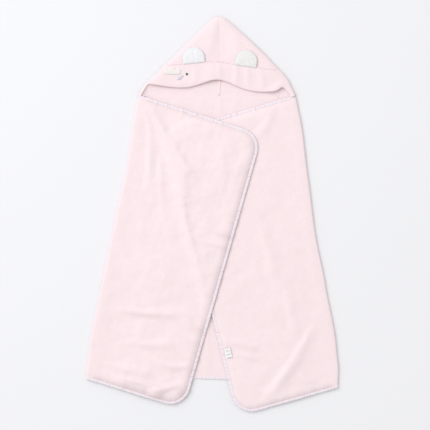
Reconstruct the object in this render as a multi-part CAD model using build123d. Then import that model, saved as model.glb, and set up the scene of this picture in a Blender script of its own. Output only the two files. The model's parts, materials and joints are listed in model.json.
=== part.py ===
"""A hooded baby towel, laid on its back as a cape with both sides folded over the front.

The frame: X to the towel's right as it is seen from above, Y from the hem towards the hood's
tip, Z up. The back rests on Z = 0. All sizes are in millimetres.

The body is one cut of cloth, divided here at its two fold lines into the back, two rolled folds
and two flaps. The left flap lies on the right one. The hood is a flat pocket of two halves
joined over the crown, with a turned-back band along its mouth, two ears and an embroidered motif.
"""
from build123d import *
import os
from math import atan2, degrees

# ---- Driving dimensions -------------------------------------------------------------------------

# Cloth and tape
CLOTH = 3.0               # one layer of velour towelling
LAYER_GAP = 0.5           # air between two layers that lie on each other
BODY_GAP = 0.3            # clearance between pieces that move against each other
BINDING_WIDTH = 9.0       # how far the tape reaches in over the cloth
BINDING_WRAP = 2.0        # how far the cloth stops short of the tape's outer edge
TONGUE = 1.0              # thickness of the cloth pressed flat inside the tape
FLAP_CORNER_RADIUS = 50.0
SEAM_THICK = 1.2          # an overlocked seam allowance
FOLD_EASE = 2.0           # how far below the neck the rolled folds begin

# Body outline
NECK_Y = 294.0
LEFT_FOLD_TOP, LEFT_FOLD_FOOT = (-176.0, NECK_Y), (-311.0, -414.0)
RIGHT_FOLD_TOP, RIGHT_FOLD_FOOT = (208.0, NECK_Y), (318.0, -436.0)
HEM_MIDDLE = (20.0, -412.0)
LEFT_FLAP_CORNERS = (128.0, 196.0), (-68.0, -489.0)      # top and bottom, before rounding
RIGHT_FLAP_CORNERS = (-111.0, 199.0), (66.0, -507.0)

# Hood
HOOD_POCKET = 8.0         # height of the space for the head
HOOD_Y = NECK_Y + 1.0     # where the hood's back layer begins
HOOD_LEFT = (-180.0, HOOD_Y), (-170.0, 316.0)   # shoulder and cheek
HOOD_RIGHT = (210.0, HOOD_Y), (190.0, 334.0)
HOOD_APEX = (20.0, 503.0)
HOOD_TIP_RADIUS = 23.0
MOUTH = ((-220.0, 330.0), (-157.0, 326.0), (-45.0, 320.0), (20.0, 336.0),
         (72.0, 317.0), (155.0, 307.0), (190.0, 314.0), (250.0, 330.0))
MOUTH_PEAK_Y = MOUTH[3][1]
BAND_TOP = (-220.0, 360.0), (-15.0, 381.0), (20.0, 380.0), (60.0, 374.0), (250.0, 346.0)
BAND_THICK = 2.5
SEAM_WIDTH = 6.0
NECK_SEAM_WIDTH = 8.0
NECK_SEAM_INSET = 34.0    # its ends stop short of the folds, clear of the flaps

# Ears
EAR_WIDTH, EAR_HEIGHT, EAR_SIDE = 55.0, 40.0, 14.0   # EAR_SIDE is the straight part of the height
EAR_LAYER = 2.0
LEFT_EAR_X, RIGHT_EAR_X = -42.0, 86.0

# Label and motif
LABEL_LENGTH, LABEL_WIDTH, LABEL_THICK = 27.0, 15.0, 0.8
LABEL_Y = -352.5
MOTIF_THICK = 0.8
CLOUD_PUFFS = (-111.0, 353.0, 6.5), (-98.0, 357.0, 9.0), (-83.0, 354.0, 8.0)   # x, y, radius
CLOUD_BASE_Y = 347.0
LEAF_CENTRE, LEAF_LENGTH, LEAF_WIDTH, LEAF_TILT = (-77.0, 339.0), 20.0, 9.0, 35.0
DOT_CENTRE, DOT_RADIUS = (-60.0, 348.0), 3.7

# ---- Heights that follow from the layers --------------------------------------------------------

UNDER_FLAP_Z = CLOTH + LAYER_GAP
OVER_FLAP_Z = UNDER_FLAP_Z + CLOTH + LAYER_GAP
LABEL_Z = UNDER_FLAP_Z + CLOTH + BODY_GAP
HOOD_FRONT_Z = CLOTH + HOOD_POCKET
BAND_Z = HOOD_FRONT_Z + CLOTH
MOTIF_Z = BAND_Z + BAND_THICK
EAR_Z = BAND_Z + BODY_GAP
CROWN_X = HOOD_APEX[0]
OVERRUN = 60.0            # how far an outline runs on past the line that trims it
FAR = 1500.0              # beyond every edge of the towel

os.makedirs("parts", exist_ok=True)


# ---- Helpers ------------------------------------------------------------------------------------

def beyond(start, end, distance=OVERRUN):
    """The point past end on the line from start."""
    run = Vector(*end) - Vector(*start)
    past = Vector(*end) + run.normalized() * distance
    return past.X, past.Y


def face(points):
    """A flat face with the given corners, at Z = 0."""
    return make_face(Polyline(*points, close=True))


def side_of(start, end, clearance=0.0):
    """A face covering everything to the left of the line from start to end."""
    along = (Vector(*end) - Vector(*start)).normalized()
    across = Vector(-along.Y, along.X)
    first = Vector(*start) - along * FAR + across * clearance
    last = Vector(*end) + along * FAR + across * clearance
    corners = first, last, last + across * FAR, first + across * FAR
    return face([(corner.X, corner.Y) for corner in corners])


def below(line, curve=Polyline):
    """A face covering everything below a line that runs in +X."""
    first, last = line[0], line[-1]
    frame = Polyline(last, (last[0], -FAR), (first[0], -FAR), first)
    return make_face([curve(*line), frame])


def below_mouth(drop=0.0):
    """Everything in front of the hood's front layer, whose edge may be lowered by drop."""
    return below([(x, y - drop) for x, y in MOUTH], Spline)


def rounded(outline, corners, radius):
    """The face with the corners nearest to the given points rounded."""
    def nearest(corner):
        return min(outline.vertices(), key=lambda v: (Vector(v) - Vector(*corner)).length)
    return fillet([nearest(corner) for corner in corners], radius)


def slab(outline, z, thickness):
    """The outline as a sheet of the given thickness, with its underside at z."""
    return extrude(Pos(0, 0, z) * outline, thickness)


def write(name, shape):
    shape.label = name
    export_step(shape, f"parts/{name}.step")


# ---- Body ---------------------------------------------------------------------------------------

def bound_panel(outline, trim, z):
    """A panel and the tape round its free edges; trim cuts off the edges that aren't free."""
    cloth = slab(offset(outline, -BINDING_WIDTH) & trim, z, CLOTH)
    tongue = slab(offset(outline, -BINDING_WRAP) & trim, z + (CLOTH - TONGUE) / 2, TONGUE)
    panel = cloth + tongue
    return panel, slab(outline & trim, z, CLOTH) - panel


def make_back():
    left_end = beyond(HEM_MIDDLE, LEFT_FOLD_FOOT)
    right_end = beyond(HEM_MIDDLE, RIGHT_FOLD_FOOT)
    top = NECK_Y + OVERRUN
    outline = face([left_end, HEM_MIDDLE, right_end, (right_end[0], top), (left_end[0], top)])
    between_folds = side_of(LEFT_FOLD_TOP, LEFT_FOLD_FOOT) & side_of(RIGHT_FOLD_FOOT, RIGHT_FOLD_TOP)
    trim = between_folds & side_of(RIGHT_FOLD_TOP, LEFT_FOLD_TOP)
    return bound_panel(outline, trim, 0)


def make_flap(fold_top, corners, fold_foot, trim, z):
    top_corner, bottom_corner = corners
    points = [beyond(top_corner, fold_top), top_corner, bottom_corner, beyond(bottom_corner, fold_foot)]
    outline = rounded(face(points), corners, FLAP_CORNER_RADIUS)
    return bound_panel(outline, trim, z)


def make_fold(top, foot, flap_z, outward):
    """The roll of cloth from the back up into a flap, and the tape round its foot."""
    outer = (flap_z + CLOTH) / 2
    run = Vector(*foot) - Vector(*top)
    along = run.normalized()
    length = run.length - FOLD_EASE
    start = Vector(*top) + along * FOLD_EASE
    across = Vector(along.Y, -along.X) * outward
    section = Plane(origin=(start.X, start.Y, outer), x_dir=across, z_dir=along)

    def ring(outer_radius, thickness):
        half = Pos(outer / 2, 0) * Rectangle(outer, 2 * outer)
        return section * ((Circle(outer_radius) - Circle(outer_radius - thickness)) & half)

    cloth = extrude(ring(outer, CLOTH), length - BINDING_WIDTH)
    tongue = extrude(ring(outer - (CLOTH - TONGUE) / 2, TONGUE), length - BINDING_WRAP)
    roll = cloth + tongue
    return roll, extrude(ring(outer, CLOTH), length) - roll


def make_neck_seam():
    """The seam allowance, pressed down onto the back just below the neck."""
    middle_x = (LEFT_FOLD_TOP[0] + RIGHT_FOLD_TOP[0]) / 2
    width = RIGHT_FOLD_TOP[0] - LEFT_FOLD_TOP[0] - 2 * NECK_SEAM_INSET
    middle_y = NECK_Y - BODY_GAP - NECK_SEAM_WIDTH / 2
    return slab(Pos(middle_x, middle_y) * Rectangle(width, NECK_SEAM_WIDTH), CLOTH, SEAM_THICK)


# ---- Hood ---------------------------------------------------------------------------------------

def hood_outline(drop=0.0):
    """The hood from above; drop carries both its sides on below the neck."""
    sides = [HOOD_LEFT[0], HOOD_LEFT[1], HOOD_APEX, HOOD_RIGHT[1], HOOD_RIGHT[0]]
    if drop:
        sides[0] = beyond(HOOD_LEFT[1], HOOD_LEFT[0], drop)
        sides[-1] = beyond(HOOD_RIGHT[1], HOOD_RIGHT[0], drop)
    return rounded(face(sides), [HOOD_APEX], HOOD_TIP_RADIUS)


def crown_side(outward):
    """Everything on one side of the crown seam: -1 is the left, 1 the right."""
    low, high = (CROWN_X, -FAR), (CROWN_X, FAR)
    return side_of(low, high) if outward < 0 else side_of(high, low)


def make_hood_half(outward):
    """One cloth: the back layer, folded up at the side into the front layer."""
    half = crown_side(outward)
    whole = slab(hood_outline() & half, 0, BAND_Z)
    pocket = slab(offset(hood_outline(OVERRUN), -CLOTH), CLOTH, HOOD_POCKET)
    in_front_of_mouth = slab(below_mouth(), CLOTH, HOOD_POCKET + 2 * CLOTH)
    return whole - pocket - in_front_of_mouth


def make_band(outward):
    """The hem turned back over the front layer, with a lip round the mouth's edge."""
    outline = hood_outline() & below(BAND_TOP) & crown_side(outward)
    top = slab(outline - below_mouth(), BAND_Z, BAND_THICK)
    lip = slab(outline & below_mouth() - below_mouth(BAND_THICK), HOOD_FRONT_Z, CLOTH + BAND_THICK)
    return top + lip


def make_crown_seam():
    """The seam allowance inside the pocket: along the back layer, round the tip, to the mouth."""
    end_y = HOOD_APEX[1] - HOOD_TIP_RADIUS * (2 ** 0.5 - 1) - CLOTH - BODY_GAP
    start_y = HOOD_Y + BODY_GAP

    def strip(low_y, high_y, z, height):
        outline = Pos(CROWN_X, (low_y + high_y) / 2) * Rectangle(SEAM_WIDTH, high_y - low_y)
        return slab(outline, z, height)

    back = strip(start_y, end_y, CLOTH, SEAM_THICK)
    tip = strip(end_y - SEAM_THICK, end_y, CLOTH, HOOD_POCKET)
    front = strip(MOUTH_PEAK_Y, end_y, HOOD_FRONT_Z - SEAM_THICK, SEAM_THICK)
    return back + tip + front


def band_top_at(x):
    """The place and the slope, in degrees, of the band's upper stitch line at x."""
    for (x0, y0), (x1, y1) in zip(BAND_TOP, BAND_TOP[1:]):
        if x0 <= x <= x1:
            share = (x - x0) / (x1 - x0)
            return y0 + share * (y1 - y0), degrees(atan2(y1 - y0, x1 - x0))
    raise ValueError(f"x = {x} is off the band")


def ear_layer(x, z):
    """A flat-bottomed round ear that stands on the band's upper stitch line."""
    y, tilt = band_top_at(x)
    sides = Pos(0, EAR_SIDE / 2) * Rectangle(EAR_WIDTH, EAR_SIDE)
    dome = Pos(0, EAR_SIDE) * Ellipse(EAR_WIDTH / 2, EAR_HEIGHT - EAR_SIDE)
    upper_half = Pos(0, EAR_HEIGHT) * Rectangle(EAR_WIDTH, 2 * EAR_HEIGHT)
    outline = (sides + dome) & upper_half
    place = Pos(x, y) * Rot(0, 0, tilt) * Pos(0, BODY_GAP)
    return slab(place * outline, z, EAR_LAYER)


# ---- Label and motif ----------------------------------------------------------------------------

def make_label():
    """A woven label, sewn in where the right flap's binding ends."""
    top, bottom = (Vector(*corner) for corner in RIGHT_FLAP_CORNERS)
    edge = (bottom - top).normalized()
    seam = top + edge * ((LABEL_Y - top.Y) / edge.Y)
    turn = degrees(atan2(edge.Y, edge.X)) + 90
    outline = Pos(BINDING_WIDTH + LABEL_WIDTH / 2, 0) * Rectangle(LABEL_WIDTH, LABEL_LENGTH)
    return slab(Pos(seam.X, seam.Y) * Rot(0, 0, turn) * outline, LABEL_Z, LABEL_THICK)


def make_cloud():
    left, right = CLOUD_PUFFS[0], CLOUD_PUFFS[-1]
    width = right[0] - left[0]
    outline = Pos(left[0] + width / 2, CLOUD_BASE_Y + left[2] / 2) * Rectangle(width, left[2])
    for x, y, radius in CLOUD_PUFFS:
        outline += Pos(x, y) * Circle(radius)
    above_base = Pos(left[0], CLOUD_BASE_Y + OVERRUN / 2) * Rectangle(2 * OVERRUN, OVERRUN)
    return slab(outline & above_base, MOTIF_Z, MOTIF_THICK)


def make_leaf():
    """Two arcs that meet at both tips."""
    radius = (LEAF_LENGTH ** 2 + LEAF_WIDTH ** 2) / (4 * LEAF_WIDTH)
    offset_y = radius - LEAF_WIDTH / 2
    outline = Pos(0, offset_y) * Circle(radius) & Pos(0, -offset_y) * Circle(radius)
    return slab(Pos(*LEAF_CENTRE) * Rot(0, 0, LEAF_TILT) * outline, MOTIF_Z, MOTIF_THICK)


# ---- Build --------------------------------------------------------------------------------------

back_panel, back_hem_binding = make_back()
left_trim = side_of(LEFT_FOLD_TOP, LEFT_FOLD_FOOT, BODY_GAP)
left_flap, left_flap_binding = make_flap(
    LEFT_FOLD_TOP, LEFT_FLAP_CORNERS, LEFT_FOLD_FOOT, left_trim, OVER_FLAP_Z)
right_trim = side_of(RIGHT_FOLD_FOOT, RIGHT_FOLD_TOP, BODY_GAP)
right_flap, right_flap_binding = make_flap(
    RIGHT_FOLD_TOP, RIGHT_FLAP_CORNERS, RIGHT_FOLD_FOOT, right_trim, UNDER_FLAP_Z)
left_fold, left_fold_binding = make_fold(LEFT_FOLD_TOP, LEFT_FOLD_FOOT, OVER_FLAP_Z, 1)
right_fold, right_fold_binding = make_fold(RIGHT_FOLD_TOP, RIGHT_FOLD_FOOT, UNDER_FLAP_Z, -1)

write("back_panel", back_panel)
write("back_hem_binding", back_hem_binding)
write("left_flap", left_flap)
write("left_flap_binding", left_flap_binding)
write("right_flap", right_flap)
write("right_flap_binding", right_flap_binding)
write("left_fold", left_fold)
write("left_fold_binding", left_fold_binding)
write("right_fold", right_fold)
write("right_fold_binding", right_fold_binding)
write("neck_seam", make_neck_seam())
for side, outward, ear_x in (("left", -1, LEFT_EAR_X), ("right", 1, RIGHT_EAR_X)):
    write(f"hood_{side}_half", make_hood_half(outward))
    write(f"brim_band_{side}", make_band(outward))
    write(f"{side}_ear_back", ear_layer(ear_x, EAR_Z))
    write(f"{side}_ear_front", ear_layer(ear_x, EAR_Z + EAR_LAYER))
write("crown_seam", make_crown_seam())
write("care_label", make_label())
write("motif_cloud", make_cloud())
write("motif_leaf", make_leaf())
write("motif_dot", slab(Pos(*DOT_CENTRE) * Circle(DOT_RADIUS), MOTIF_Z, MOTIF_THICK))

# The ears turn about their stitch lines, so these are where their joints lie.
for x in (LEFT_EAR_X, RIGHT_EAR_X):
    y, tilt = band_top_at(x)
    print(f"ear stitch line at x {x:.1f}: y {y:.2f}, slope {tilt:.2f} degrees")
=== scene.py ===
"""The looks of a hooded baby towel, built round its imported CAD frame.

Lengths are in millimetres, as in the CAD source, until a mesh is written in metres. Every cloth is a
closed shell: a middle surface over a plane cut, moved half its thickness to each side.
"""
import json
from math import cos, pi, radians, sin

import bpy
import numpy as np
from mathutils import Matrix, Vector, noise
from mathutils.geometry import convex_hull_2d, delaunay_2d_cdt


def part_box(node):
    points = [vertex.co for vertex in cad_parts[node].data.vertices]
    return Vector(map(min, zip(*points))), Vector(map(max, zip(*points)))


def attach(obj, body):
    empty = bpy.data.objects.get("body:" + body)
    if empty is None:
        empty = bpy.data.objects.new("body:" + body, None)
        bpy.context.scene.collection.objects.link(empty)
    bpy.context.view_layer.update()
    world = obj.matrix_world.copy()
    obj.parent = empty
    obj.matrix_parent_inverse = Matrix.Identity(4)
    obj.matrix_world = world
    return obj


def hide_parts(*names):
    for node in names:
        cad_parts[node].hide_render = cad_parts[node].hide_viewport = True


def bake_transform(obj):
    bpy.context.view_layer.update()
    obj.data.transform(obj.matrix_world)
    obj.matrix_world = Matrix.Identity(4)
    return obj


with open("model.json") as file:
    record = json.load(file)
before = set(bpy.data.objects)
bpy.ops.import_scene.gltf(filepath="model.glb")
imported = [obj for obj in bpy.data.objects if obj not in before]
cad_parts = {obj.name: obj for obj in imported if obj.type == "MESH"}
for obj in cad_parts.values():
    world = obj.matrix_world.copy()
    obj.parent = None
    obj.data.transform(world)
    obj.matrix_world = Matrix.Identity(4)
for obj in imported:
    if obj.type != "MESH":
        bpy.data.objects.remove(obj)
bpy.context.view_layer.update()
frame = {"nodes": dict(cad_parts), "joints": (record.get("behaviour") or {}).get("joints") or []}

# ---- Driving values (millimetres) ----------------------------------------------------------------

MM = 0.001
CLOTH = 3.0               # one layer of velour towelling
STEP = 5.0                # the spacing of a cloth's points
ROW_STEP = 0.866          # of a step, between the rows of even triangles
EDGE_STEP = 4.0           # the spacing of points along a cloth's edges
ROLL_STEPS = 8            # round a fold of the body
CRISP = radians(62)       # an edge sharper than this stays sharp
LAP_THICK = 0.8           # the cloth's thickness where two pieces lap at a seam
PRESSED = 2.1             # the cloth's thickness inside the tape
TAPE_REACH = 5.6          # how far the tape reaches in over the cloth
UNDER_GAP = 0.7           # air between the back and the right flap
OVER_GAP = 0.9            # air between the right flap and the left one
BACK_GAP = 1.1            # air between the back and the left flap, where they meet
DRAPE = 26.0              # how far the left flap takes to settle beside the right flap's edge
RIGHT_MOST = 5.7          # the highest that each flap's underside may be beside its fold,
LEFT_MOST = 9.0           # so that it lies on the floor when it is open,
MOST_SLOPE = 0.07         # and how fast that grows away from the fold
ALONG = "Along"           # the attributes that materials read
ACROSS = "Across"


# ---- Places in the frame -------------------------------------------------------------------------

def cad_points(*nodes):
    """The corners of these CAD nodes, in millimetres."""
    meshes = [frame["nodes"][node].data for node in nodes]
    return np.array([v.co for mesh in meshes for v in mesh.vertices]) / MM


def plan_hull(*nodes):
    """The outline of these nodes from above, which has no hollows, going round to the left."""
    points = np.unique(np.round(cad_points(*nodes)[:, :2], 2), axis=0)
    hull = points[convex_hull_2d([tuple(p) for p in points])]
    return hull if signed_area(hull) > 0 else hull[::-1]


def top_outline(node):
    """The outline of a flat-topped node's upper face, with any hollows."""
    mesh = frame["nodes"][node].data
    mesh.calc_loop_triangles()
    place = np.round(np.array([v.co for v in mesh.vertices]) / MM, 3)
    top = place[:, 2].max()
    after = {}
    for triangle in mesh.loop_triangles:
        corners = [tuple(place[i]) for i in triangle.vertices]
        if all(top - c[2] < 0.01 for c in corners) and triangle.normal.z > 0.9:
            for a, b in zip(corners, corners[1:] + corners[:1]):
                after.pop((b, a), None) if (b, a) in after else after.update({(a, b): b})
    step = dict(after.keys())
    start = next(iter(step))
    line = [start]
    while step[line[-1]] != start:
        line.append(step[line[-1]])
    return np.array(line)[:, :2]


def signed_area(line):
    """A closed outline's area, which is less than 0 if it goes round to the right."""
    x, y = line[:, 0], line[:, 1]
    return float((x * np.roll(y, -1) - y * np.roll(x, -1)).sum() / 2)


def joint_named(name):
    return next(joint for joint in frame["joints"] if joint["name"] == name)


class Fold:
    """A fold line of the body: its top, its run down the towel and the way in from it."""

    def __init__(self, joint, foot_node, side, wander):
        joint = joint_named(joint)
        axis = np.array(joint["axis"][:2])
        self.side = side
        self.top = np.array(joint["pos_m"][:2]) / MM
        self.down = axis * -np.sign(axis[1])
        self.inward = np.array((self.down[1], -self.down[0])) * side
        self.length = (self.top[1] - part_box(foot_node)[0].y / MM) / -self.down[1]
        self.wander = np.array(wander)

    def split(self, p):
        """How far in from the fold line the points are, and how far down it."""
        away = p - self.top
        return away @ self.inward, away @ self.down

    def join(self, s, t):
        return self.top + np.outer(s, self.inward) + np.outer(t, self.down)

    def bulge(self, t):
        """How far out of its straight line the real fold strays."""
        share = np.clip(t / self.length, 0, 1)
        return smooth_line(share, self.wander[:, 0], self.wander[:, 1])


# ---- Lines, distances and relief -----------------------------------------------------------------

def smoothstep(low, high, x):
    """0 up to low, 1 from high on, and smooth between them."""
    share = np.clip((x - low) / (high - low), 0, 1)
    return share * share * (3 - 2 * share)


def smooth_line(x, at, value):
    """A smooth curve through given values: its slopes are level at each of them."""
    i = np.clip(np.searchsorted(at, x) - 1, 0, len(at) - 2)
    return value[i] + smoothstep(at[i], at[i + 1], x) * (value[i + 1] - value[i])


def unit(vectors):
    """The same directions, each 1 long."""
    return vectors / np.maximum(np.linalg.norm(vectors, axis=-1, keepdims=True), 1e-9)


def run_along(line):
    """How far along an open line each of its points is."""
    return np.concatenate([[0], np.cumsum(np.linalg.norm(np.diff(line, axis=0), axis=1))])


def spaced(line, count):
    """An open line as this many evenly spaced points."""
    run = run_along(line)
    at = np.linspace(0, run[-1], count)
    return np.stack([np.interp(at, run, line[:, k]) for k in range(line.shape[1])], axis=1)


def resampled(line, step, closed=False):
    """The same line with points step apart."""
    line = np.asarray(line, float)
    if closed:
        line = np.vstack([line, line[:1]])
    made = spaced(line, max(2, int(round(run_along(line)[-1] / step)) + 1))
    return made[:-1] if closed else made


def softened(line, rounds=2):
    """An open line with its corners cut, round after round."""
    line = np.asarray(line, float)
    for _ in range(rounds):
        a, b = line[:-1], line[1:]
        middle = np.stack([a * 0.75 + b * 0.25, a * 0.25 + b * 0.75], axis=1).reshape(-1, 2)
        line = np.vstack([line[:1], middle, line[-1:]])
    return line


def to_line(p, line, closed=False):
    """Each point's distance from a line, its share of the way along, and which side it is on."""
    line = np.asarray(line, float)
    if closed:
        line = np.vstack([line, line[:1]])
    a, d = line[:-1], np.diff(line, axis=0)
    long = np.linalg.norm(d, axis=1)
    run = run_along(line)
    best = np.full(len(p), np.inf)
    share, side = np.zeros(len(p)), np.ones(len(p))
    for i in range(len(d)):
        away = p - a[i]
        u = np.clip(away @ d[i] / max(long[i] ** 2, 1e-9), 0, 1)
        off = away - np.outer(u, d[i])
        far = np.hypot(off[:, 0], off[:, 1])
        near = far < best
        best[near] = far[near]
        share[near] = ((run[i] + u * long[i]) / run[-1])[near]
        side[near] = np.sign(d[i][0] * away[:, 1] - d[i][1] * away[:, 0])[near]
    return best, share, side


def inside(p, outline):
    """Whether each point lies inside a closed outline."""
    x, y = p[:, 0], p[:, 1]
    hits = np.zeros(len(p), int)
    for (x0, y0), (x1, y1) in zip(outline, np.roll(outline, -1, axis=0)):
        if y0 == y1:
            continue
        crosses = (y0 > y) != (y1 > y)
        hits += crosses & (x < x0 + (y - y0) / (y1 - y0) * (x1 - x0))
    return hits % 2 == 1


def depth_in(p, outline):
    """How deep inside a closed outline each point lies; less than 0 outside it."""
    far = to_line(p, outline, closed=True)[0]
    return np.where(inside(p, outline), far, -far)


def hump(x, width):
    """A smooth bump 1 high, which falls to about a third this far from 0."""
    return np.exp(-(x / width) ** 2)


def ridge(p, route, height, width, lean=0.0):
    """A crease that stands highest half-way along its route. Lean makes its left side steeper."""
    far, share, side = to_line(p, softened(route))
    spread = width * (1 - lean * side) * (0.75 + 0.5 * share)
    return height * np.sin(pi * np.clip(share * 0.92 + 0.06, 0, 1)) ** 0.7 * hump(far, spread)


def ridges(p, creases):
    """All the creases in a table of (route, height, width, lean)."""
    return sum(ridge(p, *crease) for crease in creases)


def swell(p, size, seed):
    """Slow, even unevenness from 0 to about 1."""
    values = [noise.noise(Vector((x / size, y / size, seed))) for x, y in p]
    return np.clip(0.5 + 0.8 * np.array(values), 0, 1)


def gathers(t, d, size, seed, reach):
    """Small puckers across an edge: t runs along it, and d is how far in a point is."""
    waves = [noise.noise(Vector((a / size, b / 70, seed))) for a, b in zip(t, d)]
    return np.clip(np.array(waves) * 1.6, 0, 1) * hump(d, reach)


# ---- Meshes --------------------------------------------------------------------------------------

def staggered(outline, step, margin):
    """An even grid of points over an outline's box, with every other row half a step along."""
    low, high = outline.min(0) + margin, outline.max(0)
    xs = np.arange(low[0], high[0], step)
    ys = np.arange(low[1], high[1], step * ROW_STEP)
    return np.array([(x + (j % 2) * step / 2, y) for j, y in enumerate(ys) for x in xs])


def triangulated(outline, inner):
    """Triangles that face up over a plane outline: its own points come first, then the inner ones."""
    everything = np.vstack([outline, inner])
    made = delaunay_2d_cdt([Vector(p) for p in everything], [], [list(range(len(outline)))], 1, 1e-7)
    plane = np.array([tuple(v) for v in made[0]])
    faces = np.array([f for f in made[2] if len(f) == 3])
    a, b, c = (plane[faces[:, k]] for k in range(3))
    turn = (b - a)[:, 0] * (c - a)[:, 1] - (b - a)[:, 1] * (c - a)[:, 0]
    faces[turn < 0] = faces[turn < 0][:, ::-1]
    return plane, faces[np.abs(turn) > 1e-6]


def cut(outline, step, rows=()):
    """Triangles over a plane outline, with any rows of points and then an even grid inside it."""
    outline = np.asarray(outline, float)
    grid = staggered(outline, step, step / 2)
    points = grid[depth_in(grid, outline) > 0.6 * step]
    if len(rows):
        rows = rows[depth_in(rows, outline) > 0.3]
        apart = to_line(points, outline, closed=True)[0]
        clear = to_line(rows, outline, closed=True)[0].max() + 0.5 * step
        points = np.vstack([rows, points[apart > clear]])
    return triangulated(outline, points)


def grid_faces(rows, columns):
    """Triangles between the points of a regular grid, which are given row by row."""
    a = np.add.outer(np.arange(rows - 1) * columns, np.arange(columns - 1)).ravel()
    pairs = np.stack([a, a + columns, a + columns + 1, a, a + columns + 1, a + 1], axis=1)
    return pairs.reshape(-1, 3)


def normals_of(points, faces):
    """The way each point of a surface faces."""
    a, b, c = (points[faces[:, k]] for k in range(3))
    across = np.cross(b - a, c - a)
    total = np.zeros_like(points)
    for k in range(3):
        np.add.at(total, faces[:, k], across)
    return unit(total)


def facing_up(middle, faces, judged=slice(None)):
    """The same faces, turned over if the surface faces down at the points it is judged by."""
    return faces if normals_of(middle, faces)[judged, 2].mean() > 0 else faces[:, ::-1]


def make_object(name, points, faces, material, attributes=()):
    """A smooth mesh in metres, from points in millimetres."""
    mesh = bpy.data.meshes.new(name)
    mesh.from_pydata([tuple(p) for p in points * MM], [], [tuple(map(int, f)) for f in faces])
    mesh.polygons.foreach_set("use_smooth", [True] * len(mesh.polygons))
    for label, values in attributes:
        layer = mesh.attributes.new(label, "FLOAT", "POINT")
        layer.data.foreach_set("value", np.asarray(values, np.float32))
    mesh.materials.append(material)
    mesh.update()
    made = bpy.data.objects.new(name, mesh)
    bpy.context.scene.collection.objects.link(made)
    return made


def shell(name, middle, faces, thickness, material, attributes=(), crisp=False):
    """A closed sheet round a middle surface. A crisp one has a sharp border, for a seam."""
    n = len(middle)
    normal = normals_of(middle, faces)
    half = normal * (np.broadcast_to(thickness, n)[:, None] / 2)
    edges = {}
    for a, b, c in faces:
        for edge in ((a, b), (b, c), (c, a)):
            if edges.pop(edge[::-1], None) is None:
                edges[edge] = True
    rim = [(b, a, a + n, b + n) for a, b in edges]
    skin = [tuple(f) for f in faces] + [tuple(f[::-1] + n) for f in faces] + rim
    points = np.vstack([middle + half, middle - half])
    doubled = [(label, np.concatenate([values, values])) for label, values in attributes]
    made = make_object(name, points, skin, material, doubled)
    if crisp:
        made.data.set_sharp_from_angle(angle=CRISP)
    return made


def swept(name, path, outward, upward, section, material):
    """A tube along a path. The section's points are (outward, upward) from it."""
    rings, k = len(path), len(section)
    u, v = np.array(section).T
    points = path[:, None] + outward[:, None] * u[None, :, None] + upward[:, None] * v[None, :, None]
    faces = []
    for a in range(0, (rings - 1) * k, k):
        faces += [(a + j, a + (j + 1) % k, a + k + (j + 1) % k, a + k + j) for j in range(k)]
    faces += [tuple(range(k - 1, -1, -1)), tuple(range((rings - 1) * k, rings * k))]
    along = np.repeat(run_along(path), k)
    across = np.tile(u - v * 0.7, rings)
    return make_object(name, points.reshape(-1, 3), faces, material, [(ALONG, along), (ACROSS, across)])


TAPE_TOP = [(0.7, 0.6), (-0.5, 1.25), (-2.6, 1.6), (-4.6, 1.55), (-5.8, 1.3), (-6.0, 0.6)]
TAPE_SECTION = [(0.9, 0.0), *TAPE_TOP, *((u, -v) for u, v in reversed(TAPE_TOP))]


def edge_frame(path, normal):
    """The ways out and up along the edge of a cloth that lies to the left of it."""
    tangent = np.gradient(path, axis=0)
    outward = unit(np.cross(tangent, normal))
    return outward, unit(np.cross(outward, tangent))


def stitches(name, path, normal, material, long=3.2, gap=2.4, thick=0.7):
    """A row of short threads that lie on a surface along a path."""
    path = resampled(path, long + gap)
    points, faces = [], []
    for i in range(len(path) - 1):
        way = unit(path[i + 1] - path[i])
        up = normal[i * len(normal) // len(path)]
        side = np.cross(up, way)
        base = len(points)
        for share, full in ((0, 0.35), (0.2, 1), (0.8, 1), (1, 0.35)):
            centre = path[i] + way * (share * long) + up * (sin(pi * share) * thick * 0.7)
            ring = [side * cos(a) + up * sin(a) for a in (0, pi / 2, pi, 1.5 * pi)]
            points += [centre + corner * full * thick for corner in ring]
        for a in range(base, base + 12, 4):
            faces += [(a + j, a + (j + 1) % 4, a + 4 + (j + 1) % 4, a + 4 + j) for j in range(4)]
        faces += [(base + 3, base + 2, base + 1, base), (base + 12, base + 13, base + 14, base + 15)]
    number = np.repeat(np.arange(len(points) // 16), 16)
    return make_object(name, np.array(points), faces, material, [(ALONG, number)])


# ---- Materials -----------------------------------------------------------------------------------

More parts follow.
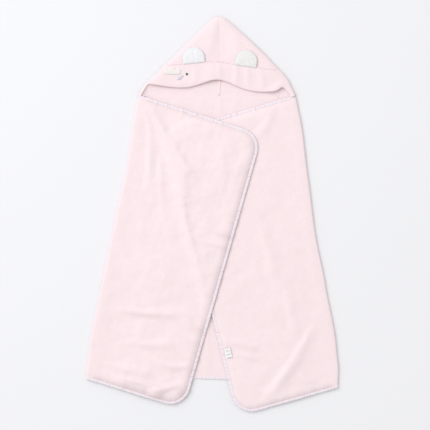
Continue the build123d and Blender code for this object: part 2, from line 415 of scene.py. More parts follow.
class Fabric:
    """A material, with what its colour and its bumps are built from."""

    def __init__(self, name, colour, roughness=0.9, sheen=0.0, sheen_tint=(1, 1, 1)):
        self.material = bpy.data.materials.new(name)
        self.material.use_nodes = True
        self.tree = self.material.node_tree
        self.surface = self.tree.nodes["Principled BSDF"]
        self.put(self.surface, Base_Color=(*colour, 1), Roughness=roughness, Specular_IOR_Level=0.15,
                 Sheen_Weight=sheen, Sheen_Roughness=0.45, Sheen_Tint=(*sheen_tint, 1))
        self.where = self.node("TexCoord").outputs["Object"]

    def node(self, kind, **settings):
        """A new node, with these of its settings made."""
        made = self.tree.nodes.new("ShaderNode" + kind)
        for name, value in settings.items():
            setattr(made, name, value)
        return made

    def fill(self, socket, value):
        """Links an input to a socket, or gives it a plain value."""
        if isinstance(value, bpy.types.NodeSocket):
            self.tree.links.new(value, socket)
        else:
            socket.default_value = value

    def put(self, node, **inputs):
        """Fills a node's inputs by their names, which have _ for each space."""
        for name, value in inputs.items():
            self.fill(node.inputs[name.replace("_", " ")], value)
        return node

    def texture(self, kind, **inputs):
        return self.put(self.node("Tex" + kind), Vector=self.where, **inputs)

    def attribute(self, label):
        return self.node("Attribute", attribute_name=label).outputs["Fac"]

    def maths(self, operation, *values):
        """A maths node's result, from numbers and sockets."""
        made = self.node("Math", operation=operation)
        for socket, value in zip(made.inputs, values):
            self.fill(socket, value)
        return made.outputs[0]

    def mottle(self, low, high, scale):
        """Makes the colour waver between two."""
        clouds = self.texture("Noise", Scale=scale, Detail=4.0, Roughness=0.6)
        ramp = self.put(self.node("ValToRGB"), Fac=clouds.outputs["Fac"])
        for stop, position, colour in zip(ramp.color_ramp.elements, (0.35, 0.65), (low, high)):
            stop.position = position
            stop.color = (*colour, 1)
        self.put(self.surface, Base_Color=ramp.outputs["Color"])

    def mark(self, ground, colour, factor):
        """Makes a plain ground colour, with another wherever the factor is 1."""
        mix = self.put(self.node("Mix", data_type="RGBA"), Factor=factor, A=(*ground, 1), B=colour)
        self.put(self.surface, Base_Color=mix.outputs["Result"])

    def bump(self, distance, *layers):
        """Adds up (height, strength) layers into one bump."""
        total = 0.0
        for height, strength in layers:
            total = self.maths("MULTIPLY_ADD", height, strength, total)
        bump = self.put(self.node("Bump"), Strength=1.0, Distance=distance, Height=total)
        self.put(self.surface, Normal=bump.outputs["Normal"])


def velour(name, low, high, pile=1.0):
    """Short cut pile: fine tufts, brushed patches and a soft sheen."""
    made = Fabric(name, high, 0.95, 0.2, (1.0, 0.93, 0.96))
    made.mottle(low, high, 55.0)
    tufts = made.texture("Voronoi", Scale=620.0).outputs["Distance"]
    brushed = made.texture("Noise", Scale=150.0, Detail=5.0, Roughness=0.65).outputs["Fac"]
    made.bump(0.001, (tufts, 0.3 * pile), (brushed, 0.6 * pile))
    return made.material


TICK_COLOURS = ((0.70, 0.53, 0.58), (0.69, 0.63, 0.73), (0.70, 0.71, 0.71), (0.77, 0.62, 0.67),
                (0.83, 0.75, 0.82))


def printed_tape():
    """Woven tape with small slanting ticks in mixed thread colours."""
    made = Fabric("printed_tape", (0.87, 0.82, 0.87), 0.85, 0.1)
    place = made.maths("MULTIPLY_ADD", made.attribute(ACROSS), 0.35, made.attribute(ALONG))
    ticks = made.node("TexVoronoi", voronoi_dimensions="1D")
    made.put(ticks, W=place, Scale=0.12, Randomness=0.75)
    mask = made.put(made.node("MapRange"), Value=ticks.outputs["Distance"], From_Min=0.07, From_Max=0.16,
                    To_Min=1.0, To_Max=0.0)
    threads = made.put(made.node("ValToRGB"), Fac=ticks.outputs["Color"])
    threads.color_ramp.interpolation = "CONSTANT"
    stops = threads.color_ramp.elements
    while len(stops) < len(TICK_COLOURS):
        stops.new(0.5)
    for i, colour in enumerate(TICK_COLOURS):
        stops[i].position = i / len(TICK_COLOURS)
        stops[i].color = (*colour, 1)
    made.mark((0.81, 0.73, 0.775), threads.outputs["Color"], mask.outputs["Result"])
    made.bump(0.0006, (made.texture("Voronoi", Scale=1100.0).outputs["Distance"], 0.3))
    return made.material


def threads_of(name, low, high):
    """Close satin stitches: fine parallel threads, a little glossy."""
    made = Fabric(name, high, 0.5, 0.1)
    made.mottle(low, high, 260.0)
    rows = made.texture("Wave", Scale=150.0, Distortion=1.5, Detail=1.0)
    rows.bands_direction = "DIAGONAL"
    made.bump(0.0004, (rows.outputs["Fac"], 0.5))
    return made.material


def plush(name, low, high):
    """White fleece with a soft curl."""
    made = Fabric(name, high, 0.95, 0.2)
    made.mottle(low, high, 160.0)
    curls = made.texture("Noise", Scale=480.0, Detail=4.0, Roughness=0.7)
    made.bump(0.001, (curls.outputs["Fac"], 1.0))
    return made.material


def woven_label():
    """White satin tape with plain grey bars across it."""
    made = Fabric("woven_label", (0.9, 0.9, 0.89), 0.6)
    bars = made.maths("LESS_THAN", made.maths("PINGPONG", made.attribute(ACROSS), 0.16), 0.055)
    middle = made.maths("COMPARE", made.attribute(ALONG), 0.5, 0.3)
    made.mark((0.80, 0.785, 0.785), (0.58, 0.57, 0.58, 1), made.maths("MULTIPLY", bars, middle))
    made.bump(0.0004, (made.texture("Voronoi", Scale=1500.0).outputs["Distance"], 0.2))
    return made.material


TOWEL = velour("pink_velour", (0.828, 0.693, 0.713), (0.843, 0.710, 0.730))
BAND = velour("band_velour", (0.832, 0.693, 0.713), (0.846, 0.708, 0.728), 0.8)
SEAM = threads_of("seam_thread", (0.85, 0.69, 0.71), (0.87, 0.715, 0.735))
TAPE = printed_tape()
EAR = plush("white_plush", (0.76, 0.76, 0.78), (0.81, 0.81, 0.83))
# A copy of the white plush for the right ear: its darker, warmer tone is painted shade, not a cream
# fabric.
EAR_SHADY = plush("plush_painted_shade", (0.735, 0.73, 0.71), (0.79, 0.78, 0.76))
LABEL = woven_label()
STITCH = threads_of("mauve_thread", (0.66, 0.48, 0.53), (0.78, 0.62, 0.67))
CREAM = threads_of("cream_thread", (0.79, 0.735, 0.71), (0.83, 0.78, 0.75))
LILAC = threads_of("lilac_thread", (0.60, 0.54, 0.64), (0.74, 0.68, 0.76))
GREEN = threads_of("green_thread", (0.02, 0.13, 0.07), (0.05, 0.22, 0.13))


# ---- The body's relief ---------------------------------------------------------------------------

# Each wander is a list of (share of the fold's length, how far out it strays).
LEFT = Fold("left_flap_open", "left_fold_binding", -1,
            [(0, 0), (0.1, 0.5), (0.25, -4.5), (0.4, -1.5), (0.55, 1.5), (0.7, 2.5), (0.85, 4), (1, -2)])
RIGHT = Fold("right_flap_open", "right_fold_binding", 1,
             [(0, 0), (0.12, 3.5), (0.28, 0), (0.47, -3), (0.65, 3), (0.82, 8), (0.92, 5), (1, -3)])
NECK = LEFT.top[1]
RIGHT_HULL = plan_hull("right_flap", "right_flap_binding")
LEFT_HULL = plan_hull("left_flap", "left_flap_binding")
MID = 1.5                 # the middle of the back layer
FOLD_REACH = 90.0         # how far in from a fold line its wander is felt


# Creases, each a route over the towel, its height and width, and how much steeper its left side is.
BACK_CREASES = [
    ([(-12, -300), (-8, -350), (-12, -410)], 2.2, 9),
    ([(24, 290), (22, 262), (27, 236)], 1.4, 5),
    ([(-20, 291), (-26, 262)], 1.0, 5),
    ([(68, 292), (60, 262)], 1.0, 6),
]
RIGHT_CREASES = [
    ([(247, -286), (222, -335), (197, -379), (135, -466)], 4.4, 12, -0.4),
    ([(222, -404), (240, -416), (262, -420)], 2.5, 7, 0.3),
    ([(150, 276), (146, 240), (128, 206), (104, 190)], 1.8, 10, -0.3),
    ([(226, 150), (238, 40), (252, -80), (266, -190)], 1.6, 9, -0.3),
    ([(30, -318), (70, -322), (122, -338)], 2.2, 7, 0.3),
    ([(60, -352), (130, -362)], 1.8, 6, 0.3),
    ([(186, -190), (196, -250), (214, -318)], 1.6, 12, -0.3),
    ([(120, -20), (150, -110), (160, -200)], 1.5, 15, -0.3),
]
LEFT_CREASES = [
    ([(-156, 272), (-132, 221), (-107, 171), (-87, 121), (-75, 59), (-70, 15)], 6.0, 11, -0.45),
    ([(-79, 60), (-70, 0), (-60, -54), (-37, -121), (-12, -214)], 3.2, 10, -0.45),
    ([(-112, 170), (-78, 132), (-42, 100)], 3.4, 9, 0.3),
    ([(-80, 268), (-48, 246), (-20, 224)], 3.4, 7, 0.3),
    ([(-165, 258), (-152, 220), (-157, 120), (-167, 50)], 2.8, 9, -0.35),
    ([(-128, 150), (-130, 90), (-122, 10)], 1.5, 8, -0.3),
    ([(-222, -238), (-170, -247), (-120, -247), (-62, -254)], 4.6, 9, 0.3),
    ([(-70, -262), (-40, -285), (-22, -300)], 2.6, 8, 0.2),
    ([(-18, -28), (18, -45), (52, -58)], 2.6, 6, 0.2),
    ([(-30, -66), (10, -78), (44, -84)], 2.0, 6, 0.2),
    ([(-236, -410), (-170, -420), (-110, -446)], 4.2, 7, 0.3),
    ([(-180, -448), (-120, -438), (-66, -424)], 3.4, 6, 0.2),
    ([(-262, -372), (-210, -388), (-150, -398)], 2.8, 9, 0.3),
    ([(-200, -318), (-150, -330), (-90, -322)], 2.6, 9, 0.3),
    ([(-130, -372), (-90, -384), (-48, -378)], 2.4, 7, 0.3),
    ([(20, 190), (34, 120), (20, 40)], 1.2, 14, 0.2),
    ([(88, 150), (60, 90), (50, 20)], 1.0, 10),
]


def wander(fold, s, t):
    """A fold's wander, felt less further in."""
    return fold.bulge(t) * hump(np.maximum(s, 0), FOLD_REACH)


def back_relief(p):
    return np.minimum(ridges(p, BACK_CREASES) + 0.5 * swell(p, 60, 3.1), 2.4)


def back_top(p):
    return CLOTH + back_relief(p)


def settled(p, up, edge, pucker, seed):
    """Unevenness that dies down towards a taped edge, and the tape's own small puckers."""
    far, share, _ = to_line(p, edge)
    kept = 0.4 + 0.6 * smoothstep(0, 20, far)
    return up * kept + pucker * gathers(share * len(edge) * EDGE_STEP, far, 13, seed, 28)


def right_relief(p):
    s, t = RIGHT.split(p)
    up = 2.0 * hump(np.maximum(s, 0), 22) * (0.8 + 0.2 * np.sin(t / 63)) + ridges(p, RIGHT_CREASES)
    up += 1.6 * swell(p, 95, 7.3) + 0.9 * swell(p, 34, 1.9) + 0.4 * swell(p, 14, 4.4)
    return settled(p, up * (1 + 0.7 * smoothstep(20, 120, s)), RIGHT_EDGE, 1.2, 5.7)


def left_relief(p):
    s, t = LEFT.split(p)
    up = 3.0 * hump(np.maximum(s, 0), 26) * (0.85 + 0.15 * np.sin(t / 71 + 1)) + ridges(p, LEFT_CREASES)
    up += 1.8 * swell(p, 90, 5.3) + 1.1 * swell(p, 32, 8.1) + 0.45 * swell(p, 14, 6.4)
    return settled(p, up * (1 + 0.8 * smoothstep(15, 110, s)), LEFT_EDGE, 2.0, 2.3)


def kept_under(height, fold, p, most):
    """Heights eased under a limit that grows away from the fold."""
    ease = 0.5
    limit = most + MOST_SLOPE * np.maximum(fold.split(p)[0], 0)
    return limit - ease * np.logaddexp(0, (limit - height) / ease)


def right_under(p):
    """The right flap's underside."""
    return kept_under(back_top(p) + UNDER_GAP + right_relief(p), RIGHT, p, RIGHT_MOST)


def left_under(p):
    """The left flap's underside: on the back, and up over the right flap where that lies below."""
    cover = smoothstep(-DRAPE, 0, depth_in(p, RIGHT_HULL))
    low = back_top(p) + BACK_GAP
    high = right_under(p) * cover + low * (1 - cover) + CLOTH + OVER_GAP
    return kept_under(low * (1 - cover) + high * cover + left_relief(p), LEFT, p, LEFT_MOST)


def free_edge(hull, fold):
    """The free edges of a flap, from the fold line's top round to its foot."""
    free = hull[fold.split(hull)[0] > 1.0]
    s, t = fold.split(free)
    order = np.argsort(np.arctan2(t - fold.length / 2, s))
    ends = fold.join(np.zeros(2), np.array((0.0, fold.length)))
    return resampled(np.vstack([ends[:1], free[order], ends[1:]]), EDGE_STEP)


LEFT_EDGE = free_edge(LEFT_HULL, LEFT)
RIGHT_EDGE = free_edge(RIGHT_HULL, RIGHT)


# ---- Body cloth ----------------------------------------------------------------------------------

def pressed(far):
    """The cloth's thickness: pressed thin inside the tape."""
    return PRESSED + (CLOTH - PRESSED) * smoothstep(TAPE_REACH - 2.5, TAPE_REACH + 0.5, far)


def make_flap(name, fold, edge, under, nodes):
    """The rolled fold and the flap as one cloth, with the tape round its free edge."""
    free = np.stack(fold.split(edge), axis=1)
    half_way = fold.join(np.zeros(1), np.array([fold.length / 2]))
    radius = (under(half_way)[0] + CLOTH / 2 - MID) / 2
    roll = np.linspace(0, -pi * radius, ROLL_STEPS + 1)[1:]
    foot = np.column_stack([roll, np.full(ROLL_STEPS, fold.length)])
    side_t = np.arange(fold.length - EDGE_STEP, 2 * EDGE_STEP, -EDGE_STEP)
    side = np.column_stack([np.full(len(side_t), -pi * radius), side_t])
    head = np.column_stack([roll[::-1], np.full(ROLL_STEPS, 2.0)])
    outline = np.vstack([free, foot, side, head])
    rows = np.array([(a, b) for a in (*roll[:-1], 0.0, 3.0, 6.0) for b in side_t])
    plane, faces = cut(outline, STEP, rows)
    middle = flap_place(plane, fold, under, radius)
    faces = facing_up(middle, faces, plane[:, 0] > 50)
    far = to_line(plane, np.vstack([free, foot]))[0]
    cloth = shell(name, middle, faces, pressed(far), TOWEL)
    taped = slice(len(free) + len(foot))
    outward, upward = edge_frame(middle[taped], normals_of(middle, faces)[taped])
    binding = name.replace("cloth", "binding")
    tape = swept(binding, middle[taped], outward * fold.side, upward, TAPE_SECTION, TAPE)
    for piece in (cloth, tape):
        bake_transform(piece)
    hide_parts(*nodes)
    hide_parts(*(node + "_binding" for node in nodes))


def flap_place(plane, fold, under, radius):
    """Where a flap's pattern lies: flat over the towel, and rolled under at the fold line."""
    s, t = plane.T
    flat = s >= 0
    angle = np.where(flat, 0, -s / radius)
    base = fold.join(np.where(flat, s, 0), t)
    height = under(base) + CLOTH / 2
    at_fold = (height - MID) / 2
    out = wander(fold, s, t) + np.where(flat, 0, at_fold * np.sin(angle))
    z = np.where(flat, height, MID + at_fold * (1 + np.cos(angle)))
    return np.column_stack([base - np.outer(out, fold.inward), z])


def make_back():
    """The back layer, thinner where it laps under the hood, with the tape along its hem."""
    feet = [fold.join([0.0], [fold.length])[0] for fold in (LEFT, RIGHT)]
    middle_x = 20.0
    tape = cad_points("back_hem_binding")
    low = (middle_x, tape[np.abs(tape[:, 0] - middle_x) < 30][:, 1].min())
    hem = resampled(softened([feet[0], low, feet[1]], 4), EDGE_STEP)
    right_side = resampled([feet[1], RIGHT.top], EDGE_STEP)[1:]
    neck = resampled([RIGHT.top, LEFT.top], EDGE_STEP)[1:]
    left_side = resampled([LEFT.top, feet[0]], EDGE_STEP)[1:-1]
    outline = np.vstack([hem, right_side, neck, left_side])
    plane, faces = cut(outline, STEP * 1.3)
    relief = back_relief(plane)
    place, z = plane.copy(), relief + MID
    for fold in (LEFT, RIGHT):
        s, t = fold.split(plane)
        place -= np.outer(wander(fold, s, t), fold.inward)
        z -= relief * hump(s, 12)
    lap = (CLOTH - LAP_THICK) * (1 - smoothstep(0.5, 6.0, to_line(plane, neck)[0]))
    middle = np.column_stack([place, z + lap / 2])
    thickness = pressed(to_line(plane, hem)[0]) - lap
    cloth = shell("back_cloth", middle, faces, thickness, TOWEL, crisp=True)
    taped = slice(len(hem))
    outward, upward = edge_frame(middle[taped], normals_of(middle, faces)[taped])
    tape = swept("back_binding", middle[taped], outward, upward, TAPE_SECTION, TAPE)
    bend_at_neck(cloth)
    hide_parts("back_panel")
    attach(tape, "back")
    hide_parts("back_hem_binding")


def bend_at_neck(piece):
    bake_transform(piece)


make_back()
make_flap("right_cloth", RIGHT, RIGHT_EDGE, right_under, ("right_fold", "right_flap"))
make_flap("left_cloth", LEFT, LEFT_EDGE, left_under, ("left_fold", "left_flap"))


# ---- Hood ----------------------------------------------------------------------------------------

HOOD_HULL = plan_hull("hood_left_half", "hood_right_half")
CROWN_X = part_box("hood_left_half")[1].x / MM
HOOD_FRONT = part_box("hood_left_half")[1].z / MM - CLOTH / 2   # the middle of the front layer
SIDE_Z = 5.0              # where the hood's side fold is widest
SIDE_ROUND = 15.0         # how far in the front layer takes to rise from its side
BACK_ROUND = {-1: 13.0, 1: 8.0}       # and how far in the back layer's rise is felt, left and right
BAND_THICK = 1.8
BAND_PUFF = 0.7           # how far the band stands off the front layer between its edges
LIP = 2.5                 # the band's lip hangs this far over the mouth's edge
LIP_ROUND = 1.5           # and this far out as it turns
TURNED_UNDER = 5.0        # how far the band goes in under the front layer
CREST = 0.7               # how far the motif stands off the front layer
BAND_COLUMNS = 46         # from the crown to the mouth's corner
CHEEK_COLUMNS = {-1: 1, 1: 14}        # from there to the shoulder
LEFT_CHEEK, RIGHT_CHEEK = 4.5, 9.0    # the width of the front layer beside the mouth's corners
MOUTH_CORNERS = {-1: (-157, 325), 1: (179, 320)}
SEAM_LAP = 0.7            # how far each half reaches past the crown seam
MOUTH_DROP = 4.6          # how much flatter the pocket lies at its mouth than at the ears
RIGHT_FULLNESS = 5.0      # how far the hood's right side stands out of its straight line


def hood_side():
    """The hood's outline from the left shoulder over the tip to the right one."""
    start = int(np.argmin(HOOD_HULL @ (1, 1)))
    line = np.roll(HOOD_HULL, -start, axis=0)[::-1]
    line = np.vstack([line[-1:], line[:-1]])
    line = resampled(line, EDGE_STEP)
    low, high = line[-1, 1] + 25, line[:, 1].max() - 8
    share = np.clip((line[:, 1] - low) / (high - low), 0, 1)
    full = RIGHT_FULLNESS * np.sin(pi * share) * (line[:, 0] > CROWN_X)
    x = line[:, 0] - CROWN_X
    rounding = 1.2 * hump(x, 22) + 2.0 * (1 - hump(x, 6)) * hump(x, 18)
    line[:, 1] -= rounding * (line[:, 1] > low)
    return line + np.outer(full, (0.7, 0.7))


HOOD_SIDE = hood_side()


def band_chain(lower):
    """The mouth's edge or the band's upper stitch line, from the frame's brim bands."""
    points = cad_points("brim_band_left", "brim_band_right")
    points = points[points[:, 2] > points[:, 2].max() - 0.05]
    middle = (points[:, 1].min() + points[:, 1].max()) / 2
    chain = points[points[:, 1] < middle] if lower else points[points[:, 1] > middle]
    chain = chain[np.argsort(chain[:, 0])]
    return chain[:, 0], chain[:, 1] + (LIP if lower else 0)


MOUTH_X, MOUTH_Y = band_chain(True)
TOP_X, TOP_Y = band_chain(False)


def mouth_y(x):
    return np.interp(x, MOUTH_X, MOUTH_Y)


def band_top_y(x):
    return np.interp(x, TOP_X, TOP_Y)


def hood_depth(p):
    """How far each point is from the hood's side."""
    return to_line(p, HOOD_SIDE)[0]


HOOD_CREASES = [
    ([(12, 486), (2, 440), (-6, 396)], 2.6, 15, 0.3),
    ([(30, 455), (34, 420), (36, 385)], -2.2, 18, 0.2),
    ([(48, 462), (66, 430), (64, 384)], 1.6, 13, -0.2),
    ([(60, 376), (63, 345), (60, 318)], 2.4, 6, -0.3),
    ([(88, 368), (92, 340), (90, 312)], 2.0, 6, -0.3),
    ([(19, 376), (20, 355), (19, 334)], 1.8, 5, -0.3),
    ([(-44, 372), (-40, 350), (-44, 326)], 1.6, 7, -0.3),
    ([(118, 360), (128, 332), (126, 308)], 1.9, 7, -0.3),
    ([(140, 304), (160, 308), (182, 326)], 4.0, 9, 0.2),
    ([(-100, 322), (-66, 324), (-34, 328)], 1.4, 9),
    ([(-140, 352), (-100, 392), (-60, 436)], 1.3, 10),
    ([(168, 368), (130, 402), (96, 438)], 1.3, 12),
]


def hood_relief(p):
    x, y = p.T
    fullness = 4.0 * hump(x - 4, 25) * (1 - smoothstep(338, 392, y))
    return fullness + ridges(p, HOOD_CREASES) + 0.7 * swell(p, 50, 9.2) + 0.3 * swell(p, 16, 2.2)


def hood_front(p):
    """The middle of the front layer."""
    x, y = p.T
    rise = np.sqrt(1 - (1 - np.minimum(hood_depth(p) / SIDE_ROUND, 1)) ** 2)
    shoulder = 1 - smoothstep(HOOD_SIDE[0, 1] + 10, HOOD_SIDE[0, 1] + 75, y)
    kept_open = smoothstep(95, 150, np.abs(x - 10)) * np.where(x < CROWN_X, 0.7, 0.15)
    drop = MOUTH_DROP * (1 - smoothstep(0, 70, y - mouth_y(x))) * (1 - kept_open)
    height = HOOD_FRONT - 1.0 - SIDE_Z - 0.8 * shoulder - drop + hood_relief(p)
    return SIDE_Z + (height - 0.45 * hump(x - CROWN_X, 3.0)) * rise


def hood_back(p):
    """The middle of the back layer, which slopes up a little towards its side."""
    reach = np.where(p[:, 0] < CROWN_X, BACK_ROUND[-1], BACK_ROUND[1])
    return MID + (SIDE_Z - MID) * np.exp(-(hood_depth(p) / reach) ** 1.6)


def mouth_path(outward):
    """The front layer's free edge from the crown seam to the shoulder, on one side."""
    if outward < 0:
        end, cheek, side, extra = -152, LEFT_CHEEK, HOOD_SIDE[:8], []
    else:
        end, cheek, side, extra = 150, RIGHT_CHEEK, HOOD_SIDE[-7:][::-1], [(158, 306.5), (168, 311)]
    xs = np.arange(CROWN_X, end, outward * EDGE_STEP)
    line = [*zip(xs, mouth_y(xs)), *extra, MOUTH_CORNERS[outward]]
    way = unit(side[-1] - side[0])
    foot = side[0] + np.array((way[1], -way[0])) * -outward * cheek
    return resampled(softened([*line, tuple(foot + way * 14), tuple(foot)]), EDGE_STEP)


def make_hood_half(outward, name):
    """One cloth: the back layer, folded up at the side into the front layer."""
    tip = int(np.argmin(np.abs(HOOD_SIDE[:, 0] - CROWN_X) - HOOD_SIDE[:, 1]))
    side = HOOD_SIDE[:tip] if outward < 0 else HOOD_SIDE[tip:][::-1]
    peak = np.array((CROWN_X, HOOD_SIDE[tip, 1]))
    side = np.vstack([side[(side[:, 0] - CROWN_X) * outward > 1.5], peak])
    edge = mouth_path(outward)
    crown = resampled([peak, (CROWN_X, mouth_y(CROWN_X))], EDGE_STEP)[1:-1]
    crown[:, 0] -= outward * SEAM_LAP
    edge[0, 0] -= outward * SEAM_LAP
    low = (CROWN_X - outward * SEAM_LAP, NECK - 1.2)
    crown_back = resampled([peak, low], EDGE_STEP)[1:]
    neck = resampled([low, (side[0, 0] - outward * 5, low[1]), side[0]], EDGE_STEP)[1:-1]
    front_outline = np.vstack([side, crown, edge])
    back_outline = np.vstack([side, crown_back, neck])
    rings = np.vstack([side_offset(side, d, outward) for d in (0.25, 1.0, 2.2, 4.0, 6.5)])
    front, front_faces = cut_hood(front_outline, rings)
    back, back_faces = cut_hood(back_outline, rings)
    n = len(side)
    front_points = np.column_stack([front, hood_front(front)])
    back_points = np.column_stack([back, hood_back(back)])
    front_points[:n, 2] = back_points[:n, 2] = SIDE_Z
    if outward > 0:
        front_points[n:n + len(crown), 2] -= 0.5
    number = np.arange(len(back))
    number[n:] += len(front) - n
    faces = np.vstack([front_faces, number[back_faces[:, ::-1]]])
    middle = np.vstack([front_points, back_points[n:]])
    seams = [np.array([(CROWN_X, low[1]), peak]), np.array([side[0], low])]
    to_seam = np.minimum(*(to_line(middle[:, :2], line)[0] for line in seams))
    to_seam[:len(front)] = np.abs(middle[:len(front), 0] - CROWN_X)
    thin = LAP_THICK + (CLOTH - LAP_THICK) * smoothstep(SEAM_LAP + 0.2, 6.0, to_seam)
    middle[:, 2] += (CLOTH - thin) / 2
    half = shell(name.replace("half", "cloth"), middle, faces, thin, TOWEL, crisp=True)
    bend_at_neck(half)
    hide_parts(name)


def side_offset(side, distance, outward):
    """A line beside the hood's side, this far in."""
    way = unit(np.gradient(side, axis=0))
    inward = np.column_stack([way[:, 1], -way[:, 0]]) * -outward
    return side + inward * distance


def cut_hood(outline, rings):
    """Triangles over half of the hood, with rings of points along its rounded side."""
    grid = staggered(outline, STEP, 2)
    keep = (depth_in(grid, outline) > 0.5 * STEP) & (hood_depth(grid) > 9.0)
    rings = rings[depth_in(rings, outline) > 0.15]
    return triangulated(outline, np.vstack([rings, grid[keep]]))


def on_front(p, above):
    """Places this far above the middle of the front layer, and the ways up from it."""
    step = 0.5
    z = hood_front(p)
    dx = (hood_front(p + (step, 0)) - hood_front(p - (step, 0))) / (2 * step)
    dy = (hood_front(p + (0, step)) - hood_front(p - (0, step))) / (2 * step)
    up = unit(np.column_stack([-dx, -dy, np.ones(len(p))]))
    return np.column_stack([p, z]) + up * np.reshape(above, (-1, 1)), up


def cheek_split(outward):
    """The mouth's edge as far as its corner, and on from there to the shoulder."""
    path = mouth_path(outward)
    at = int(np.argmin(((path - MOUTH_CORNERS[outward]) ** 2).sum(1)))
    return path[:at + 1], path[at:]


def band_head(outward):
    """The band's upper stitch line as far as the hood's side, and down the side to the shoulder."""
    xs = np.linspace(CROWN_X, CROWN_X + outward * 190, 90)
    line = np.column_stack([xs, band_top_y(xs)])
    line = line[depth_in(line, HOOD_SIDE) > 1.0]
    side = side_offset(HOOD_SIDE if outward < 0 else HOOD_SIDE[::-1], 1.0, outward)
    side = side[:int(np.argmin(((side - line[-1]) ** 2).sum(1)))][::-1]
    return line, np.vstack([line[-1:], side])


def make_band(outward, name):
    """The hem turned back over the front layer, and round the mouth's edge."""
    counts = (BAND_COLUMNS, CHEEK_COLUMNS[outward])
    foot, head = ([spaced(part, n) for part, n in zip(split, counts)]
                  for split in (cheek_split(outward), band_head(outward)))
    foot, head = (np.vstack([front, cheek[1:]]) for front, cheek in (foot, head))
    foot[0, 0] = head[0, 0] = CROWN_X - outward * SEAM_LAP
    rows = []
    for v in (0.0, 0.02, 0.05, *np.linspace(0.12, 1.0, 10)):
        puff = BAND_THICK / 2 + CLOTH / 2 + BAND_PUFF * sin(pi * v) ** 0.5
        rows.append(on_front(head * (1 - v) + foot * v, puff)[0])
    base, up = on_front(foot, 0.0)
    out = unit(np.cross(np.gradient(base, axis=0), up))
    if out[0, 1] > 0:
        out = -out
    radius = (BAND_THICK + CLOTH) / 2
    for angle in np.linspace(0, pi, 9)[1:]:
        rows.append(base + out * LIP_ROUND * sin(angle) + up * radius * cos(angle))
    rows.append(base - out * TURNED_UNDER - up * radius)
    middle = np.vstack(rows)
    faces = facing_up(middle, grid_faces(len(rows), len(foot)), len(foot) * 5 + 5)
    cloth_name = name.replace("brim_band", "band") + "_cloth"
    band = shell(cloth_name, middle, faces, BAND_THICK, BAND, crisp=True)
    bend_at_neck(band)
    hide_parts(name)
    seam = (head * 0.955 + foot * 0.045)[:counts[0] - 1]
    place, way = on_front(seam, CLOTH / 2 + BAND_THICK + 0.35)
    row = stitches(name + "_stitches", place, way, STITCH)
    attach(row, "hood")


ROUND_SECTION = [(3.0, 0.0), (2.4, 0.7), (1.0, 1.0), (-1.0, 1.0), (-2.4, 0.7), (-3.0, 0.0), (-2.4, -0.5),
                 (2.4, -0.5)]


def make_seam(node, path, side, section):
    """A seam allowance swept along a path, with its flat side across it."""
    side = np.tile(side, (len(path), 1))
    up = unit(np.cross(side, np.gradient(path, axis=0)))
    piece = swept(node + "_tape", path, side, up, section, SEAM)
    bend_at_neck(piece)
    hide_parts(node)


def make_crown_seam():
    """The seam allowance inside the pocket: along the back layer, round the tip, to the mouth."""
    low, high = HOOD_SIDE[0, 1] + 1, HOOD_SIDE[:, 1].max() - 12
    back = np.array([(CROWN_X + 2.0 * sin((y - low) / 60), y) for y in np.arange(low, high, 4.0)])
    front = np.array([(CROWN_X, y) for y in np.arange(high, mouth_y(CROWN_X) + 2, -4.0)])
    lower = np.column_stack([back, hood_back(back) + CLOTH / 2 + 0.1])
    upper = np.column_stack([front, hood_front(front) - CLOTH / 2 - 0.5])
    turn_z = np.linspace(lower[-1, 2] + 1.5, upper[0, 2] - 1.5, 4)
    turn = np.column_stack([np.full(4, CROWN_X), np.full(4, high + 2.5), turn_z])
    make_seam("crown_seam", np.vstack([lower, turn, upper]), (1.0, 0.0, 0.0), ROUND_SECTION)


def make_neck_seam():
    """The seam allowance on the back layer, along the neck."""
    low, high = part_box("neck_seam")
    xs = np.arange(low.x / MM, high.x / MM, 4.0)
    flat = np.column_stack([xs, (low.y + high.y) / 2 / MM + 0.8 * np.sin(xs / 23)])
    path = np.column_stack([flat, back_top(flat) - 0.2])
    make_seam("neck_seam", path, (0.0, -1.0, 0.0), [(u * 0.8, v * 0.35) for u, v in ROUND_SECTION])


for side_name, outward in (("left", -1), ("right", 1)):
    make_hood_half(outward, f"hood_{side_name}_half")
    make_band(outward, f"brim_band_{side_name}")
make_crown_seam()
make_neck_seam()


# ---- Ears, label and motif -----------------------------------------------------------------------

EAR_DROP = 4.0            # the ears are sewn on this far below the line they flop on


def make_ear(side_name, cloth, crease_at, crease_slant, crease_depth):
    """Two layers of plush sewn and turned: a soft pillow, flat at its stitch line."""
    front, back = f"{side_name}_ear_front", f"{side_name}_ear_back"
    outline = resampled(plan_hull(front), 2.0, closed=True)
    plane, faces = cut(outline, 2.4)
    joint = joint_named(f"{side_name}_ear_flop")
    away = plane - np.array(joint["pos_m"][:2]) / MM
    way = np.array(joint["axis"][:2])
    line = away @ way - crease_at - away @ (-way[1], way[0]) * crease_slant
    full = 1 - np.exp(-to_line(plane, outline, closed=True)[0] / 4.0)
    low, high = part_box(back)[0].z / MM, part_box(front)[1].z / MM
    rim = low + (high - low) * 0.42
    bottom = rim - (rim - low) * full
    top = rim + (high - rim + 0.3) * full * (0.85 + 0.15 * swell(plane, 12, 3.3))
    top += crease_depth * full * (0.5 * (hump(line - 5, 3) + hump(line + 5, 3)) - hump(line, 2.6))
    place = plane - (0, EAR_DROP)
    n, edge = len(plane), len(outline)
    skin = [tuple(f) for f in faces] + [tuple(f[::-1] + n) for f in faces]
    skin += [((i + 1) % edge, i, i + n, (i + 1) % edge + n) for i in range(edge)]
    for node, outer, lip in ((front, top, 0.9), (back, bottom, -0.9)):
        points = np.column_stack([np.tile(place, (2, 1)), np.append(outer, np.full(n, rim))])
        points[:edge, 2] = rim + lip
        faces = skin if lip > 0 else [f[::-1] for f in skin]
        piece = make_object(node + "_plush", points, faces, cloth)
        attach(piece, f"{side_name}_ear")
        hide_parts(node)


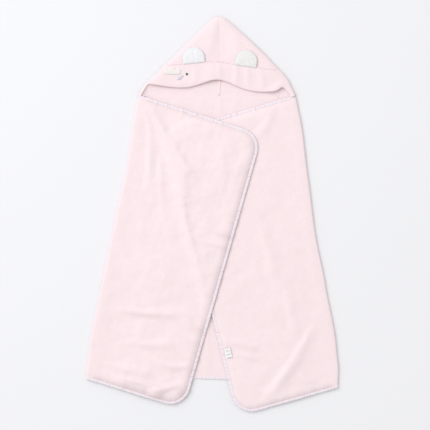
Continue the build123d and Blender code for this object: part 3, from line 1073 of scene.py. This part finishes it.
def make_label():
    """Folded woven tape, sewn in at the end of the right flap's binding and curling a little."""
    joint = joint_named("label_flip")
    axis = np.array(joint["axis"][:2])
    corners = plan_hull("care_label")
    start = np.array(joint["pos_m"][:2]) / MM
    side = np.array((axis[1], -axis[0]))
    side *= np.sign((corners.mean(0) - start) @ side)
    u, v = (corners - start) @ side, (corners - start) @ axis
    us, vs = np.linspace(u.min(), u.max(), 12), np.linspace(v.min(), v.max(), 20)
    plane = np.array([start + side * a + axis * b for b in vs for a in us])
    share_u = np.tile(np.linspace(0, 1, len(us)), len(vs))
    share_v = np.repeat(np.linspace(0, 1, len(vs)), len(us))
    curl = 1.6 * share_u ** 2 + 0.5 * np.sin(share_v * 5) * share_u
    middle = np.column_stack([plane, right_under(plane) + CLOTH + 0.8 + curl])
    faces = facing_up(middle, grid_faces(len(vs), len(us)))
    piece = shell("label_tape", middle, faces, 0.6, LABEL, [(ALONG, share_u), (ACROSS, share_v)])
    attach(piece, "label")
    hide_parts("care_label")


def make_patch(node, cloth, size=1.0):
    """A satin-stitched patch that stands a little out of the band."""
    outline = resampled(top_outline(node), 1.0, closed=True)
    outline = outline.mean(0) + (outline - outline.mean(0)) * size
    plane, faces = cut(outline, 1.3)
    far = np.maximum(to_line(plane, outline, closed=True)[0], 0)
    dome = 0.9 * (1 - np.exp(-far / 1.2))
    place, up = on_front(plane, CLOTH / 2 + BAND_THICK + CREST)
    piece = shell(f"{node}_stitched", place + up * dome[:, None], faces, 0.9, cloth)
    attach(piece, "hood")
    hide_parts(node)


make_ear("left", EAR, 2.0, 0.02, 0.8)
# The right ear wears the plush copy with painted shade.
make_ear("right", EAR_SHADY, -4.0, 0.1, 0.25)
make_label()
make_patch("motif_cloud", CREAM)
make_patch("motif_leaf", LILAC)
make_patch("motif_dot", GREEN, 0.8)


# ---- Floor, light and camera ---------------------------------------------------------------------

def make_floor():
    half = 6.0
    mesh = bpy.data.meshes.new("floor")
    corners = [(-half, -half, 0), (half, -half, 0), (half, half, 0), (-half, half, 0)]
    mesh.from_pydata(corners, [], [(0, 1, 2, 3)])
    mesh.materials.append(Fabric("pale_floor", (0.775, 0.775, 0.795), 0.8).material)
    floor = bpy.data.objects.new("floor", mesh)
    bpy.context.scene.collection.objects.link(floor)


def aimed(name, kind, place, energy, colour):
    """A light that points at the towel's middle."""
    light = bpy.data.lights.new(name, kind)
    light.energy = energy
    light.color = colour
    made = bpy.data.objects.new(name, light)
    made.location = place
    made.rotation_mode = "QUATERNION"
    made.rotation_quaternion = (-Vector(place)).to_track_quat("-Z", "Y")
    bpy.context.scene.collection.objects.link(made)
    return light


def make_light():
    """Even light all round, a wide soft key from the upper left, and a little more at that end."""
    world = bpy.data.worlds.new("studio")
    bpy.context.scene.world = world
    world.use_nodes = True
    sky = world.node_tree.nodes["Background"].inputs
    sky["Color"].default_value = (0.995, 0.993, 0.985, 1)
    sky["Strength"].default_value = 0.765
    key = aimed("key", "SUN", (-1.6, 1.1, 2.6), 0.88, (1.0, 0.995, 0.99))
    key.angle = radians(62)
    glow = aimed("glow", "AREA", (-1.7, 1.4, 2.8), 37.0, (0.91, 0.94, 1.0))
    glow.size = 2.4


def make_camera():
    """Straight above, a little off the towel's origin, with just over a metre in view."""
    in_view = 1.075
    camera = bpy.data.cameras.new("camera")
    camera.lens = 100
    camera.sensor_width = 36
    made = bpy.data.objects.new("camera", camera)
    made.location = (0.010, -0.004, in_view * camera.lens / camera.sensor_width + 0.008)
    bpy.context.scene.collection.objects.link(made)
    bpy.context.scene.camera = made


make_floor()
make_light()
make_camera()
bpy.context.scene.view_settings.view_transform = "Standard"
bpy.context.scene.cycles.diffuse_bounces = 12    # light goes on through many layers of pale pile
